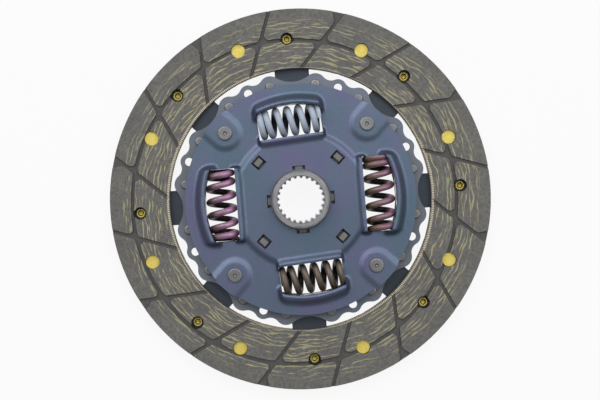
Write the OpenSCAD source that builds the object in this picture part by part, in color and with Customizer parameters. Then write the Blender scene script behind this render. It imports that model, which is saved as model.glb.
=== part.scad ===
// Clutch disc with a sprung hub, lying flat: +Z is the side that faces the viewer.
// The origin is on the hub axis, half way through the pack of facings, and +X runs
// through the neck of one cushion segment and the middle of one long damper spring.

/* [Friction facings] */
// Outer diameter of the two friction facings
facing_d = 190; // [184:1:200]
// Thickness of one friction facing
facing_t = 3.5; // [2.8:0.1:4.2]
// How much closer the facings come when the disc is clamped
cushion_travel = 0.7; // [0.4:0.1:0.9]
// Width of the straight dust grooves
groove_w = 1.8; // [1.2:0.1:2.8]
// Depth of the dust grooves
groove_depth = 0.9; // [0.4:0.1:1.2]
// Number of straight grooves round the facing
groove_count = 16; // [8:8:24]
// Radius of the circle that the straight grooves are tangent to
groove_lean_r = 39.5; // [34:0.5:46]
// Radius of the ring groove
ring_groove_r = 80.8; // [79:0.1:82]
// How far the ring groove sits off the hub axis
ring_groove_offset = 3.3; // [2:0.1:4]
// Corner radius of the blocks between the grooves
block_corner_r = 2.2; // [1:0.2:3]
// How far the flared groove mouths reach in from the rim
mouth_depth = 6; // [4:0.5:9]
// How much wider the mouths are at the rim
mouth_w = 3.5; // [2:0.5:6]

/* [Facing rivets] */
// Radius of the circle of facing rivets
facing_rivet_r = 80.2; // [78:0.2:83]
// Diameter of a facing rivet's shank
facing_rivet_d = 3.6; // [3:0.1:4.2]
// Diameter of its flat head
facing_head_d = 6.8; // [6:0.1:7.6]
// Thickness of its flat head
facing_head_t = 1.0; // [0.7:0.1:1.2]
// Diameter of its rolled tail
facing_tail_d = 4.7; // [4.4:0.1:5.4]
// Facing left under a rivet head
facing_floor_t = 1.2; // [0.9:0.1:1.5]
// Diameter of the clearance hole over a rivet's tail
tail_hole_d = 6.2; // [5.8:0.1:7.6]

/* [Cushion segments] */
// Number of cushion segments
segment_count = 8; // [8:1:8]
// Thickness of the segments' spring sheet
segment_t = 0.7; // [0.5:0.05:0.9]
// Width of a segment's neck
neck_w = 17.2; // [14:0.2:19]
// Angle that a segment's fan covers
fan_angle = 42.5; // [38:0.5:43]
// Angle from a segment's neck to the middle of its fan
fan_offset = 9.95; // [8:0.05:11]
// How far the fans stay inside the facings' rim
fan_inset = 0.8; // [0.4:0.1:2]

/* [Disc plate] */
// Thickness of the disc plate behind the springs
disc_plate_t = 2.0; // [1.6:0.1:2.4]
// Radius of the circle of segment rivets
segment_rivet_r = 58.1; // [56:0.1:60]
// Diameter of a segment rivet's shank
segment_rivet_d = 3.6; // [3:0.1:4]
// Diameter of its heads
segment_head_d = 4.6; // [4.4:0.1:5.4]
// Radius of the lobes round the segment rivets
rivet_lobe_r = 5.4; // [5:0.1:5.6]
// Diameter of the balancing holes between the rivets
balance_hole_d = 4.1; // [3.8:0.1:4.8]
// How much further out than the rivets the balancing holes lie
balance_hole_shift = 0.8; // [0.4:0.1:1]
// Radius of the lobes round the balancing holes
hole_lobe_r = 4.2; // [3.9:0.1:4.6]
// Radius of the hollows between the lobes
hollow_r = 5.0; // [3:0.2:6]
// Radius of the wide hollows at the necks
neck_hollow_r = 14.6; // [13:0.2:17]
// Gap between the lobes and the facings' bore
rim_gap = 2.1; // [1.5:0.1:3]

/* [Cover plate] */
// Thickness of the cover plate over the springs
cover_t = 1.8; // [1.5:0.1:2.2]
// How far the cover plate's rim lies inside the circle of segment rivets
cover_inset = 0.8; // [0.2:0.1:1.4]
// How far the middle of the cover plate is raised
plateau_rise = 1.6; // [1.4:0.1:2]
// How far inside the spring centres the raised middle begins
plateau_inset = 4.2; // [3.8:0.1:4.7]
// Width of the slope round the raised middle
plateau_slope_w = 3.3; // [2.4:0.1:3.6]
// How far the pads round the stop pins are raised
pad_rise = 0.9; // [0.5:0.1:1.2]
// Radius of those pads
pad_r = 9.2; // [8.8:0.1:9.6]
// Width of the slope round a pad
pad_slope_w = 2.8; // [2.2:0.1:3.2]
// How far the middles of the slots lie inside the edge of the raised middle
slot_inset = 7.3; // [6.9:0.1:7.7]
// Size of a slot along the radius
slot_depth = 5.0; // [4.6:0.1:5.4]
// Size of a slot across the radius
slot_w = 5.8; // [5.4:0.1:6.4]

/* [Stop pins] */
// How far the stop pins stand inside the circle of segment rivets
stop_pin_inset = 8.4; // [7.9:0.1:8.9]
// Diameter of a stop pin between the plates
stop_pin_d = 7.0; // [6:0.1:7.6]
// Diameter of its ends in the plates
stop_neck_d = 5.0; // [4:0.1:5.6]
// Diameter of its riveted heads
stop_head_d = 7.1; // [6.6:0.1:8]
// Height of its riveted heads
stop_head_t = 1.0; // [0.7:0.1:1.4]

/* [Damper springs] */
// How far the spring centres lie inside the circle of segment rivets
spring_inset = 18.8; // [18.5:0.1:19.1]
// Outer diameter of the springs
spring_d = 15.4; // [14.6:0.2:15.6]
// Diameter of the spring wire
wire_d = 3.2; // [2.8:0.1:3.4]
// Length of the long spring on the right
right_spring_l = 37.4; // [35:0.1:38]
// Length of the long spring on the left
left_spring_l = 36; // [35:0.1:38]
// Length of the two short springs
short_spring_l = 31.6; // [31:0.1:34]
// Turns of the two long springs
long_spring_turns = 6.6; // [6.2:0.05:6.8]
// Turns of the top short spring
top_spring_turns = 6.45; // [6:0.05:6.6]
// Turns of the bottom short spring
bottom_spring_turns = 5.9; // [5.6:0.05:6.6]
// How far round from the necks the long springs sit
window_turn = 0.5; // [0:0.1:1]
// How much further round than square the short pair sits
short_pair_skew = 3.85; // [0:0.05:4]
// How far the hub turns either way before the pins stop it
damper_turn = 6; // [4:0.5:7]

/* [Spring windows] */
// Distance of the inner flaps' tips from the spring axis
inner_tip = 7.7; // [7.5:0.1:8.1]
// Distance of the cover plate's outer flap tips from the spring axis
outer_tip = 8; // [7.8:0.1:8.3]
// Distance of the disc plate's outer flap tips from the spring axis
rear_outer_tip = 8.3; // [8:0.1:8.7]
// Height of the outer flaps above the spring axis
flap_height = 8.4; // [8.2:0.1:8.8]
// Height of the inner flaps above the spring axis
inner_flap_height = 7.5; // [7.2:0.1:8.2]
// Slope of the flaps from the plate
flap_angle = 50; // [46:1:56]
// Inside bend radius of the flaps
flap_bend_r = 1.6; // [1:0.1:1.8]
// Width of the drawn corners past the spring seats
corner_w = 1.2; // [1:0.1:2]
// Clearance between a spring's side and the edge of its window in the hub flange
flange_side_gap = 0.4; // [0.3:0.1:0.6]

/* [Hub] */
// Number of spline teeth
spline_teeth = 24; // [20:1:26]
// Diameter across the roots of the spline
spline_root_d = 23.2; // [22.4:0.2:24]
// Height of the spline teeth
spline_tooth_h = 1.0; // [0.8:0.05:1.4]
// Wall of the hub barrel outside the spline
barrel_wall = 2.5; // [2.2:0.1:2.8]
// Thickness of the hub flange
flange_t = 3.6; // [3:0.1:4.4]
// How far the rim of the hub flange lies inside the circle of segment rivets
flange_inset = 5.1; // [4.1:0.5:6.1]
// How far the hub stands out in front of the flange
barrel_front = 9.6; // [8:0.2:14]
// How far the hub reaches behind the flange
barrel_rear = 6.8; // [5.4:0.2:7]
// Chamfer on the ends of the barrel
barrel_chamfer = 0.9; // [0.4:0.1:1.2]

/* [Friction pack] */
// Wall of the centring bush between hub and cover plate
bush_wall = 0.85; // [0.7:0.05:1.1]
// Running clearance between the hub and its bushes
running_gap = 0.05; // [0.03:0.01:0.09]
// Thickness of the front friction washer
front_washer_t = 1.0; // [0.8:0.1:1.2]
// Thickness of the rear friction washer
rear_washer_t = 1.0; // [0.8:0.1:1.4]
// Thickness of the cone spring's sheet
cone_spring_t = 0.5; // [0.3:0.05:0.6]
// Width of the washer's driving lugs across the radius
lug_w = 4.7; // [4.2:0.1:5]
// Size of the lugs along the radius
lug_depth = 3.2; // [2.6:0.1:3.6]
// Gap between the hub flange and the flat of the cover plate
cover_gap = 0.5; // [0.4:0.1:0.8]

/* [Fits] */
// Clearance between a spring's ends and its windows
seat_gap = 0.1; // [0.05:0.05:0.2]
// Radial clearance round a rivet's shank
rivet_gap = 0.05; // [0.02:0.01:0.1]
// Clearance of the stop pins' slots past the full turn
stop_slack = 0.3; // [0.2:0.05:0.4]

/* [Hidden] */
$fn = 96;
cut = 1;

segment_pitch = 360 / segment_count;
rim_r = segment_rivet_r + rivet_lobe_r;
balance_hole_r = segment_rivet_r + balance_hole_shift;
facing_bore_r = rim_r + rim_gap;
facing_r = facing_d / 2;

// The sprung middle keeps its place inside the circle of segment rivets
cover_r = segment_rivet_r - cover_inset;
flange_r = segment_rivet_r - flange_inset;
stop_pin_r = segment_rivet_r - stop_pin_inset;
spring_circle_r = segment_rivet_r - spring_inset;
plateau_r = spring_circle_r - plateau_inset;
slot_r = plateau_r - slot_inset;

// Small shapes of the facings, rivets and segments
counterbore_play = 0.3;
tube_wall = 0.55;
tube_bottom = 0.5;
rivet_head_t = 1.1;
fold_low = [-20, -2];
fold_high = [4, 19];
fold_ramp = 3;
foot_margin = 9;
fan_inner = rim_r + 3.2;
sheet_fillet = 1.5;

// Heights of every layer above the middle of the facing pack
gap_half = segment_t / 2 + cushion_travel / 2;
facing_top = gap_half + facing_t;
disc_plate_z = segment_t - gap_half;
disc_plate_top = disc_plate_z + disc_plate_t;
flange_z = disc_plate_top + rear_washer_t;
flange_top = flange_z + flange_t;
spring_z = flange_z + flange_t / 2;
cover_z = flange_top + cover_gap;
cover_top = cover_z + cover_t;
plateau_top = cover_top + plateau_rise;
pad_top = cover_top + pad_rise;
flap_top = spring_z + flap_height;
inner_flap_top = spring_z + inner_flap_height;

barrel_r = spline_root_d / 2 + barrel_wall;
bush_bore_r = barrel_r + running_gap;
cover_hole_r = bush_bore_r + bush_wall;
barrel_top = flange_top + barrel_front;
barrel_bottom = flange_z - barrel_rear;

spring_r = spring_d / 2;
flange_half_w = spring_r + flange_side_gap;
window_inner = spring_circle_r - inner_tip;
// Small shapes of the plates
pad_fillet = 12;
pad_inset = 0.7;
bush_notch_w = 6.4;
bush_notch_depth = 1.7;
flap_root = 1.6;
blank_play = 0.4;
corner_fade = 3;
corner_step = 0.3;
front_outer = spring_circle_r + outer_tip;
rear_outer = spring_circle_r + rear_outer_tip;

// Small shapes of the friction pack
pack_play = 0.4;
rear_washer_w = 9;
bush_collar_t = 0.6;
bush_lug_w = 3.4;

// Each spring window: angle round the hub, and length of its spring
RIGHT = [window_turn, right_spring_l];
TOP = [90 + window_turn + short_pair_skew, short_spring_l];
LEFT = [180 + window_turn, left_spring_l];
BOTTOM = [270 + window_turn + short_pair_skew, short_spring_l];
WINDOWS = [RIGHT, TOP, LEFT, BOTTOM];

// Each spring's coil: turns, angle at which its wire starts, closed turns at its two ends
RIGHT_COIL = [long_spring_turns, 49, 1.5, 1.0];
TOP_COIL = [top_spring_turns, 295, 1.3, 1.05];
LEFT_COIL = [long_spring_turns, 151, 1.35, 1.25];
BOTTOM_COIL = [bottom_spring_turns, 328, 0.5, 0.9];
coil_gap = 0.05;
grind = 0.39;

// Angles round the disc, from the neck of the first segment
tail_angle = 1.0;
head_angle = 2 * fan_offset - tail_angle;
rivet_step = segment_pitch / 4;
pin_angle = 45;
groove_angle = 5.7;
ring_groove_angle = 201;
spline_angle = 3;
lug_angles = [for (i = [0:3]) 90 * i];
slot_angles = [for (i = [0:3]) pin_angle + 90 * i];

// Copies at equal steps round the hub axis
module around(count, start = 0) {
    for (i = [0:count - 1]) rotate(start + i * 360 / count) children();
}

// A flat ring between two radii and two heights
module ring(inner, outer, low, high) {
    translate([0, 0, low]) difference() {
        cylinder(r = outer, h = high - low);
        translate([0, 0, -cut]) cylinder(r = inner, h = high - low + 2 * cut);
    }
}

// A wedge of the plane between two radii, centred on +X
module sector_2d(inner, outer, angle) {
    reach = outer * 1.5;
    intersection() {
        difference() {
            circle(r = outer);
            circle(r = inner);
        }
        polygon([[0, 0], [reach, -reach * tan(angle / 2)], [reach, reach * tan(angle / 2)]]);
    }
}

// A vertical hole at a radius and an angle
module hole(r, angle, d, low, high) {
    rotate(angle) translate([r, 0, low - cut]) cylinder(d = d, h = high - low + 2 * cut);
}

// Friction facings

// The net of dust grooves, straight ones crossed by one ring off the axis
module groove_net() {
    offset(r = -block_corner_r, $fn = 32) offset(r = block_corner_r, $fn = 32) {
        around(groove_count, groove_angle) groove_line() groove_stroke();
        around(groove_count / 2, groove_angle + 360 / groove_count) groove_line() groove_mouth();
        rotate(ring_groove_angle) translate([ring_groove_offset, 0]) difference() {
            circle(r = ring_groove_r + groove_w / 2, $fn = 144);
            circle(r = ring_groove_r - groove_w / 2, $fn = 144);
        }
    }
}

// Places a shape drawn along +X on the line of a groove that leaves the rim at +X
module groove_line() {
    rotate(-asin(groove_lean_r / facing_r)) translate([0, groove_lean_r]) children();
}

// One straight groove from the bore to the rim
module groove_stroke() {
    start = sqrt(pow(facing_bore_r, 2) - pow(groove_lean_r, 2)) - 2 * groove_w;
    end = sqrt(pow(facing_r, 2) - pow(groove_lean_r, 2)) + 2 * groove_w;
    translate([start, -groove_w / 2]) square([end - start, groove_w]);
}

// The mouth of every other groove, flared to one side at the rim
module groove_mouth() {
    rim = sqrt(pow(facing_r, 2) - pow(groove_lean_r, 2));
    start = rim - mouth_depth;
    flare = groove_w / 2 + mouth_w * 1.35;
    past = rim + 3 * groove_w;
    polygon([
        [start, groove_w / 2],
        [rim - mouth_depth * 0.3, flare],
        [past, flare],
        [past, -groove_w / 2],
        [start, -groove_w / 2]
    ]);
}

// One facing with its friction side up at the given height
module facing(colour) {
    head_depth = facing_t - facing_floor_t;
    color(colour) difference() {
        ring(facing_bore_r, facing_r, 0, facing_t);
        translate([0, 0, facing_t - groove_depth]) linear_extrude(groove_depth + cut) groove_net();
        for (i = [0:segment_count - 1]) {
            turn = i * segment_pitch;
            hole(facing_rivet_r, turn + head_angle, facing_rivet_d + 2 * rivet_gap, 0, facing_t);
            hole(facing_rivet_r, turn + tail_angle, tail_hole_d, 0, facing_t);
            rotate(turn + head_angle) translate([facing_rivet_r, 0, facing_floor_t])
                cylinder(d = facing_head_d + counterbore_play, h = head_depth + cut);
        }
    }
}

module front_facing() {
    translate([0, 0, gap_half]) facing("dimgray");
}

// The same facing turned over about the middle of a segment's fan
module flipped() {
    rotate(fan_offset) rotate([180, 0, 0]) rotate(-fan_offset) children();
}

module rear_facing() {
    flipped() front_facing();
}

// Facing rivets

// A semi-tubular rivet, head up, with its floor of facing at height zero
module facing_rivet() {
    grip = facing_floor_t + segment_t;
    roll_r = (facing_tail_d - facing_rivet_d) / 4 + tube_wall / 2;
    roll_c = facing_tail_d / 2 - roll_r;
    tube_r = facing_rivet_d / 2 - tube_wall;
    mouth = -grip - 3 * roll_r;
    rotate_extrude() difference() {
        union() {
            square([facing_head_d / 2, facing_head_t]);
            translate([0, -grip - roll_r]) square([facing_rivet_d / 2, grip + roll_r + facing_head_t / 2]);
            translate([roll_c, -grip - roll_r]) circle(r = roll_r);
            translate([0, -grip - roll_r]) square([roll_c, roll_r]);
        }
        polygon([
            [-cut, mouth],
            [tube_r, mouth],
            [tube_r, -grip],
            [0, tube_bottom - grip],
            [-cut, tube_bottom - grip]
        ]);
        translate([-facing_head_d, -facing_head_d]) square([facing_head_d, 2 * facing_head_d]);
    }
}

module front_facing_rivets() {
    color("goldenrod") around(segment_count, head_angle)
        translate([facing_rivet_r, 0, gap_half + facing_floor_t]) facing_rivet();
}

module rear_facing_rivets() {
    color("goldenrod") flipped() front_facing_rivets();
}

// Cushion segments

// Outline of a segment lying along +X from its foot to the rim
module segment_outline() {
    foot_inner = segment_rivet_r - segment_head_d;
    foot_angle = 2 * rivet_step + foot_margin;
    difference() {
        offset(r = -sheet_fillet, $fn = 32) offset(r = sheet_fillet, $fn = 32) {
            sector_2d(foot_inner, rim_r - sheet_fillet, foot_angle);
            translate([segment_rivet_r, -neck_w / 2]) square([fan_inner - segment_rivet_r, neck_w]);
            rotate(fan_offset) sector_2d(fan_inner, facing_r - fan_inset, fan_angle);
        }
        for (side = [-1, 1]) rotate(side * rivet_step) translate([segment_rivet_r, 0])
            circle(d = segment_rivet_d + 2 * rivet_gap);
        for (a = [tail_angle, head_angle]) rotate(a) translate([facing_rivet_r, 0])
            circle(d = facing_rivet_d + 2 * rivet_gap);
    }
}

// The folded sheet seen along the radius: panels that touch the rear and the front facing in turn
module segment_fold() {
    low = -gap_half;
    high = gap_half - segment_t;
    half = facing_r / 2;
    top = [
        [-half, high],
        [fold_low[0] - fold_ramp, high],
        [fold_low[0], low],
        [fold_low[1], low],
        [fold_high[0], high],
        [fold_high[1], high],
        [fold_high[1] + fold_ramp, low],
        [half, low]
    ];
    back = [for (i = [len(top) - 1:-1:0]) top[i] + [0, segment_t]];
    polygon(concat(top, back));
}

// A segment is flat from its foot to its neck and folded across its fan
module cushion_segment(index) {
    color("slategray") rotate(index * segment_pitch) {
        translate([0, 0, -gap_half]) linear_extrude(segment_t) intersection() {
            segment_outline();
            circle(r = (rim_r + fan_inner) / 2);
        }
        intersection() {
            translate([0, 0, -facing_top]) linear_extrude(2 * facing_top) difference() {
                segment_outline();
                circle(r = rim_r);
            }
            rotate(fan_offset) multmatrix([
                [0, 0, 1, 0],
                [1, 0, 0, 0],
                [0, 1, 0, 0],
                [0, 0, 0, 1]
            ]) linear_extrude(facing_r + cut) segment_fold();
        }
    }
}

// Segment rivets
module segment_rivets() {
    low = -gap_half;
    color("silver") around(segment_count) for (side = [-1, 1])
        rotate(side * rivet_step) translate([segment_rivet_r, 0, 0]) rotate_extrude() {
            translate([0, low - rivet_head_t / 2])
                square([segment_rivet_d / 2, disc_plate_top - low + rivet_head_t]);
            translate([0, disc_plate_top]) rivet_crown(segment_head_d / 2, rivet_head_t);
            mirror([0, 1]) translate([0, -low]) rivet_crown(segment_head_d / 2, rivet_head_t);
        }
}

// Half the section of a low rivet head with a rounded shoulder
module rivet_crown(r, h) {
    shoulder = h * 0.6;
    square([r, h - shoulder]);
    square([r - shoulder, h]);
    translate([r - shoulder, h - shoulder]) intersection() {
        circle(r = shoulder);
        square(shoulder);
    }
}

// Spring windows

// A sheet flap in section: flat from the origin outwards, bent up and leaning back over the origin
module flap_section(leg, sheet_t) {
    steps = 6;
    angles = [for (i = [0:steps]) flap_angle * i / steps];
    face = [for (a = angles) [-flap_bend_r * sin(a), flap_bend_r * (1 - cos(a))]];
    rise = leg * [-cos(flap_angle), sin(flap_angle)];
    edge = [for (i = [0:steps]) face[i] - sheet_t * [sin(angles[i]), cos(angles[i])]];
    back = [for (i = [steps:-1:0]) edge[i]];
    polygon(concat(
        [[flap_root, 0]],
        face,
        [face[steps] + rise, edge[steps] + rise],
        back,
        [[flap_root, -sheet_t]]
    ));
}

// Length of the straight part of a flap that rises from a plate face to the flap height
function flap_leg(rise) = (rise - flap_bend_r * (1 - cos(flap_angle))) / sin(flap_angle);

// Distance from the window edge at the flap's tip to the start of its bend
function flap_reach(rise, sheet_t) =
    (sheet_t + flap_bend_r) * sin(flap_angle) + flap_leg(rise) * cos(flap_angle);

// Half the length between the spring seats of a window
function seat_half(length) = length / 2 + seat_gap;

// A window between a straight inner side and a curved outer side, with its ends at the spring seats
module window_opening(length, inner, outer, low, high) {
    half = seat_half(length);
    translate([0, 0, low - cut]) linear_extrude(high - low + 2 * cut) intersection() {
        circle(r = outer + blank_play);
        translate([inner - blank_play, -half]) square([outer, 2 * half]);
    }
}

// A corner drawn up from the plate past a spring seat. It closes the end of a flap whose bend
// starts at one distance and whose tip is at another, and it runs out along the seat.
module drawn_corner(bend_x, tip_x, y, rise, sheet_t, ground) {
    way = sign(tip_x - bend_x);
    stretch = abs(tip_x - bend_x) / flap_reach(rise, sheet_t);
    bend_u = flap_bend_r * sin(flap_angle);
    leg_u = bend_u + flap_leg(rise) * cos(flap_angle);
    tip_u = leg_u + sheet_t * sin(flap_angle);
    profile = [
        [-flap_root / 2, ground],
        [0, ground],
        [0, -corner_step],
        [bend_u, flap_bend_r * (1 - cos(flap_angle)) - corner_step],
        [leg_u - corner_step, rise - 2 * corner_step],
        [tip_u - corner_step, rise - sheet_t * cos(flap_angle) - corner_step],
        [tip_u + corner_fade, ground]
    ];
    foot = [[tip_u + corner_fade, ground - sheet_t / 2], [-flap_root / 2, ground - sheet_t / 2]];
    intersection() {
        translate([bend_x, y + corner_w, 0]) rotate([90, 0, 0]) linear_extrude(corner_w)
            polygon([for (q = concat(profile, foot)) [way * stretch * q[0], q[1]]]);
        rotate([90, 0, 90]) linear_extrude(facing_r) polygon([
            [y - cut, ground - sheet_t],
            [y - cut, rise],
            [y + corner_w * 0.25, rise],
            [y + corner_w, ground],
            [y + corner_w, ground - sheet_t]
        ]);
    }
}

// One straight inner flap and one curved outer flap, standing up from given faces with their
// corners. The ground is the height of the flat sheet round the window's corners.
module window_flaps(length, outer, sheet_t, inner_face, outer_face, ground) {
    inner_rise = inner_flap_top - inner_face;
    outer_rise = flap_top - outer_face;
    seat = seat_half(length);
    half = seat + corner_w * 0.2;
    inner_edge = window_inner - flap_reach(inner_rise, sheet_t);
    outer_edge = outer + flap_reach(outer_rise, sheet_t);
    sweep = 2 * asin(half / (outer - 2 * wire_d));
    translate([inner_edge, half, inner_face]) rotate([90, 0, 0]) linear_extrude(2 * half)
        mirror([1, 0]) flap_section(flap_leg(inner_rise), sheet_t);
    intersection() {
        translate([0, 0, outer_face]) rotate(-sweep / 2) rotate_extrude(angle = sweep)
            translate([outer_edge, 0]) flap_section(flap_leg(outer_rise), sheet_t);
        translate([outer / 2, -half, outer_face - flap_top]) cube([facing_r, 2 * half, 3 * flap_top]);
    }
    for (side = [0, 1]) mirror([0, side, 0]) {
        translate([0, 0, inner_face])
            drawn_corner(inner_edge, window_inner, seat, inner_rise, sheet_t, ground - inner_face);
        translate([0, 0, outer_face])
            drawn_corner(chord_x(outer_edge, seat), chord_x(outer, seat), seat, outer_rise, sheet_t, 0);
    }
}

// Where a circle of a given radius crosses the line at a distance beside the X axis
function chord_x(r, y) = sqrt(pow(r, 2) - pow(y, 2));

// Cover plate

// Section of the cover plate with its raised middle
module cover_section() {
    foot = plateau_r;
    brow = plateau_r - plateau_slope_w;
    past = cover_r + pad_r;
    bend = cover_t / 3;
    offset(r = bend) offset(r = -2 * bend) offset(r = bend) polygon([
        [cover_hole_r, plateau_top],
        [brow, plateau_top],
        [foot, cover_top],
        [past, cover_top],
        [past, cover_z],
        [foot - bend, cover_z],
        [brow - bend, cover_z + plateau_rise],
        [cover_hole_r, cover_z + plateau_rise]
    ]);
}

// Outline of the cover plate with its edge led out round the stop pins
module cover_outline() {
    offset(r = -pad_fillet) offset(r = pad_fillet) {
        circle(r = cover_r, $fn = 180);
        around(4, pin_angle) translate([stop_pin_r, 0]) circle(r = pad_r - pad_inset);
    }
}

// A raised pad with sloping sides that runs out over the rim. It starts below the face that it
// rises from, where its sides are that much wider, and it can be shrunk to hollow it from below.
module pad_form(shrink, face) {
    root = 0.4;
    slope = pad_slope_w / pad_rise;
    base_r = pad_r - shrink + root * slope;
    top_r = pad_r - shrink - pad_slope_w;
    height = pad_rise + root;
    inset = 0.04;
    translate([stop_pin_r, 0, face - root]) {
        cylinder(r1 = base_r, r2 = top_r, h = height);
        rotate([90, 0, 90]) linear_extrude(2 * pad_r) polygon([
            [-base_r + inset, 0],
            [base_r - inset, 0],
            [top_r - inset, height],
            [-top_r + inset, height]
        ]);
    }
}

module cover_plate() {
    color("lightslategray") {
        intersection() {
            difference() {
                union() {
                    rotate_extrude() cover_section();
                    around(4, pin_angle) pad_form(0, cover_top);
                }
                around(4, pin_angle) pad_form(cover_t / 4, cover_z);
                for (w = WINDOWS) rotate(w[0]) window_opening(
                    w[1],
                    window_inner - flap_reach(inner_flap_top - plateau_top, cover_t),
                    front_outer + flap_reach(flap_top - cover_top, cover_t),
                    cover_z,
                    plateau_top
                );
                for (a = slot_angles) rotate(a) translate([slot_r - slot_depth / 2, -slot_w / 2, cover_z])
                    cube([slot_depth, slot_w, 4 * cover_t]);
                for (a = lug_angles) rotate(a) translate([0, -bush_notch_w / 2, cover_z])
                    cube([cover_hole_r + bush_notch_depth, bush_notch_w, 4 * cover_t]);
                around(4, pin_angle) hole(stop_pin_r, 0, stop_neck_d + 2 * rivet_gap, cover_z, pad_top);
            }
            translate([0, 0, cover_z - cut]) linear_extrude(plateau_top) cover_outline();
        }
        for (w = WINDOWS) rotate(w[0])
            window_flaps(w[1], front_outer, cover_t, plateau_top, cover_top, cover_top);
    }
}

// Disc plate

// The scalloped rim: lobes round the rivets and balancing holes, one wide hollow at each neck
module disc_plate_outline() {
    offset(r = -hollow_r, $fn = 48) offset(r = hollow_r, $fn = 48) {
        circle(r = segment_rivet_r, $fn = 144);
        around(segment_count) {
            neck_hollow();
            for (side = [-1, 1]) rotate(side * rivet_step) translate([segment_rivet_r, 0])
                circle(r = rivet_lobe_r, $fn = 48);
            rotate(2 * rivet_step) translate([balance_hole_r, 0]) circle(r = hole_lobe_r, $fn = 48);
        }
    }
}

// The plate between two rivet lobes, hollowed by a circle that runs into both lobes smoothly
module neck_hollow() {
    lobe_x = segment_rivet_r * cos(rivet_step);
    lobe_y = segment_rivet_r * sin(rivet_step);
    centre = lobe_x + chord_x(neck_hollow_r + rivet_lobe_r, lobe_y);
    touch = rivet_lobe_r / (neck_hollow_r + rivet_lobe_r);
    touch_x = lobe_x + (centre - lobe_x) * touch;
    touch_y = lobe_y * (1 - touch);
    difference() {
        polygon([[0, 0], [lobe_x, -lobe_y], [touch_x, -touch_y], [touch_x, touch_y], [lobe_x, lobe_y]]);
        translate([centre, 0]) circle(r = neck_hollow_r, $fn = 144);
    }
}

module disc_plate() {
    face = 2 * spring_z - disc_plate_z;
    inner = window_inner - flap_reach(inner_flap_top - face, disc_plate_t);
    outer = rear_outer + flap_reach(flap_top - face, disc_plate_t);
    color("slategray") {
        difference() {
            translate([0, 0, disc_plate_z]) linear_extrude(disc_plate_t) disc_plate_outline();
            hole(0, 0, 2 * cover_hole_r, disc_plate_z, disc_plate_top);
            for (w = WINDOWS) rotate(w[0])
                window_opening(w[1], inner, outer, disc_plate_z, disc_plate_top);
            for (i = [0:segment_count - 1]) {
                turn = i * segment_pitch;
                for (side = [-1, 1])
                    hole(segment_rivet_r, turn + side * rivet_step, segment_rivet_d + 2 * rivet_gap,
                        disc_plate_z, disc_plate_top);
                hole(balance_hole_r, turn + 2 * rivet_step, balance_hole_d, disc_plate_z, disc_plate_top);
            }
            around(4, pin_angle)
                hole(stop_pin_r, 0, stop_neck_d + 2 * rivet_gap, disc_plate_z, disc_plate_top);
        }
        translate([0, 0, 2 * spring_z]) mirror([0, 0, 1]) for (w = WINDOWS) rotate(w[0])
            window_flaps(w[1], rear_outer, disc_plate_t, face, face, face);
    }
}

// Stop pins
module stop_pins() {
    dimple_r = 1.0;
    color("silver") around(4, pin_angle) translate([stop_pin_r, 0, 0]) difference() {
        rotate_extrude() {
            translate([0, disc_plate_top]) square([stop_pin_d / 2, cover_z + pad_rise - disc_plate_top]);
            translate([0, disc_plate_z - stop_head_t / 2])
                square([stop_neck_d / 2, pad_top - disc_plate_z + stop_head_t]);
            translate([0, pad_top]) rivet_crown(stop_head_d / 2, stop_head_t);
            mirror([0, 1]) translate([0, -disc_plate_z]) rivet_crown(stop_head_d / 2, stop_head_t);
        }
        translate([0, 0, pad_top + stop_head_t]) sphere(r = dimple_r);
    }
}

// Damper springs

// How far along the spring its wire's centre line is after n turns
function coil_advance(n, coil, length) =
    let (turns = coil[0], first = coil[2], last = coil[3], tight = wire_d + coil_gap)
    let (start = (0.5 - grind) * wire_d)
    let (free = (length - 2 * start - (first + last) * tight) / (turns - first - last))
    start + tight * min(n, first) + free * max(0, min(n, turns - last) - first)
        + tight * max(0, n - turns + last);

// One corner of the wire's section, held inside the ground ends of the spring
function coil_corner(n, corner, coil, length) =
    let (mean = (spring_d - wire_d) / 2, a = 360 * n, b = corner)
    let (radial = mean + wire_d / 2 * cos(b))
    let (along = coil_advance(n, coil, length) + wire_d / 2 * sin(b))
    [min(max(along, 0), length) - length / 2, radial * cos(a), radial * sin(a)];

// A right-hand coil along X with closed and ground ends
module coil(form, length) {
    steps = round(form[0] * 16);
    sides = 10;
    points = [for (i = [0:steps]) for (k = [0:sides - 1])
        coil_corner(form[0] * i / steps, 360 * k / sides, form, length)];
    walls = [for (i = [0:steps - 1]) for (k = [0:sides - 1])
        let (n = (k + 1) % sides)
        [i * sides + k, i * sides + n, (i + 1) * sides + n, (i + 1) * sides + k]];
    caps = [
        [for (k = [sides + 3:-1:4]) k % sides],
        [for (k = [7:sides + 6]) steps * sides + k % sides]
    ];
    rotate([form[1], 0, 0]) polyhedron(points = points, faces = concat(walls, caps));
}

// A damper spring in its window
module damper_spring(window, form, colour) {
    color(colour) rotate(window[0]) translate([spring_circle_r, 0, spring_z]) rotate(-90)
        coil(form, window[1]);
}

// Hub

// Outline of the splined bore: one rounded gap between teeth for each tooth
module spline_2d() {
    root = spline_root_d / 2;
    tip = root - spline_tooth_h;
    pitch = 360 / spline_teeth;
    round_r = 0.25;
    gap = [[tip, -0.36], [root, -0.2], [root, 0.2], [tip, 0.36]];
    offset(r = round_r, $fn = 16) offset(delta = -round_r)
        polygon([for (i = [0:spline_teeth - 1]) for (p = gap)
            let (a = spline_angle + (i + p[1]) * pitch) p[0] * [cos(a), sin(a)]]);
}

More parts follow.
